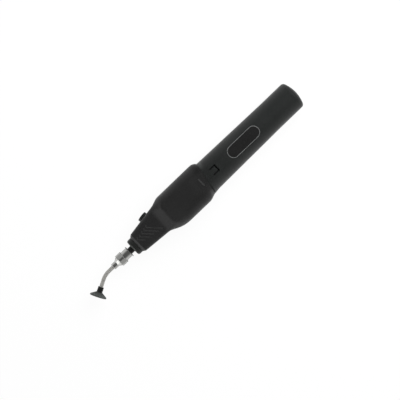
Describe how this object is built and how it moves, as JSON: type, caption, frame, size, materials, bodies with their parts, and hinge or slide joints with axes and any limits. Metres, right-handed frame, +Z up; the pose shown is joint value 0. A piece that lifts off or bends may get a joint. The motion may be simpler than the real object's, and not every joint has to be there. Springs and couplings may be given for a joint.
{
  "type": "vacuum pick-up pen",
  "caption": "Slim battery vacuum pen: round battery cover with a slanted seam, box grip, tapered nose with push button, and a bent needle carrying a rubber suction cup.",
  "frame": {"origin": "centre of the footprint, on the surface that the pen lies on", "axes": "+X along the pen toward the tail, +Y toward the push button, +Z up out of the flat side"},
  "size_m": [0.184, 0.0254, 0.0228],
  "materials": {
    "grip_plastic": "satin black moulding",
    "cover_plastic": "fine satin black moulding",
    "button_plastic": "satin black",
    "tray_plastic": "plain moulded",
    "fitting_plastic": "smooth moulded",
    "hub_metal": "bright nickel plate",
    "needle_steel": "drawn bright",
    "cup_rubber": "soft matt",
    "cell_jacket": "plain sleeve",
    "contact_metal": "nickel plate",
    "spring_steel": "drawn wire",
    "motor_steel": "zinc plate",
    "pale_plastic": "natural moulding",
    "pump_plastic": "plain moulded",
    "pump_rubber": "soft matt",
    "flap_rubber": "soft matt",
    "hose_rubber": "milky soft tube",
    "screw_steel": "dark plate",
    "board_resin": "lacquered board",
    "switch_plastic": "plain moulded"
  },
  "bodies": {
    "pen": {"housing_upper": "grip_plastic", "housing_lower": "grip_plastic", "housing_screws": "screw_steel", "battery_tray": "tray_plastic", "battery_cell": "cell_jacket", "battery_spring": "spring_steel", "negative_strip": "contact_metal", "positive_contact": "contact_metal", "motor_can": "motor_steel", "motor_end_cap": "pale_plastic", "pump_case": "pump_plastic", "diaphragm": "pump_rubber", "valve_plate": "pale_plastic", "valve_flaps": "flap_rubber", "pump_cover": "pump_plastic", "suction_hose": "hose_rubber", "vacuum_spigot": "fitting_plastic", "nose_collar": "fitting_plastic", "switch_body": "switch_plastic", "circuit_board": "board_resin"},
    "cover": {"battery_cover": "cover_plastic"},
    "button": {"push_button": "button_plastic", "switch_plunger": "switch_plastic"},
    "nozzle": {"needle_hub": "hub_metal", "needle_tube": "needle_steel"},
    "cup": {"suction_cup": "cup_rubber"},
    "rotor": {"motor_shaft": "needle_steel", "drive_wheel": "pale_plastic"},
    "wobbler": {"wobble_plate": "pale_plastic"}
  },
  "joints": [
    {"name": "cover_slide", "type": "slide", "parent": "pen", "child": "cover", "axis": [1, 0, 0], "range_m": [0, 0.078]},
    {"name": "button_press", "type": "slide", "parent": "pen", "child": "button", "axis": [0.1588, -0.9873, 0], "range_m": [0, 0.0006], "stiffness_N_per_m": 800},
    {"name": "nozzle_turn", "type": "hinge", "parent": "pen", "child": "nozzle", "pos_m": [-0.05486, 0, 0.0114], "axis": [-1, 0, 0], "continuous": true},
    {"name": "cup_pull", "type": "slide", "parent": "nozzle", "child": "cup", "axis": [-0.8829, -0.4695, 0], "range_m": [0, 0.006]},
    {"name": "motor_spin", "type": "hinge", "parent": "pen", "child": "rotor", "pos_m": [-0.00974, 0, 0.0114], "axis": [1, 0, 0], "continuous": true},
    {"name": "wobble", "type": "hinge", "parent": "rotor", "child": "wobbler", "pos_m": [-0.01894, 0, 0.0114], "axis": [0.9962, 0.0872, 0], "continuous": true}
  ],
  "couplings": [
    {"joint": "wobble", "follows": "motor_spin", "ratio": -1}
  ]
}
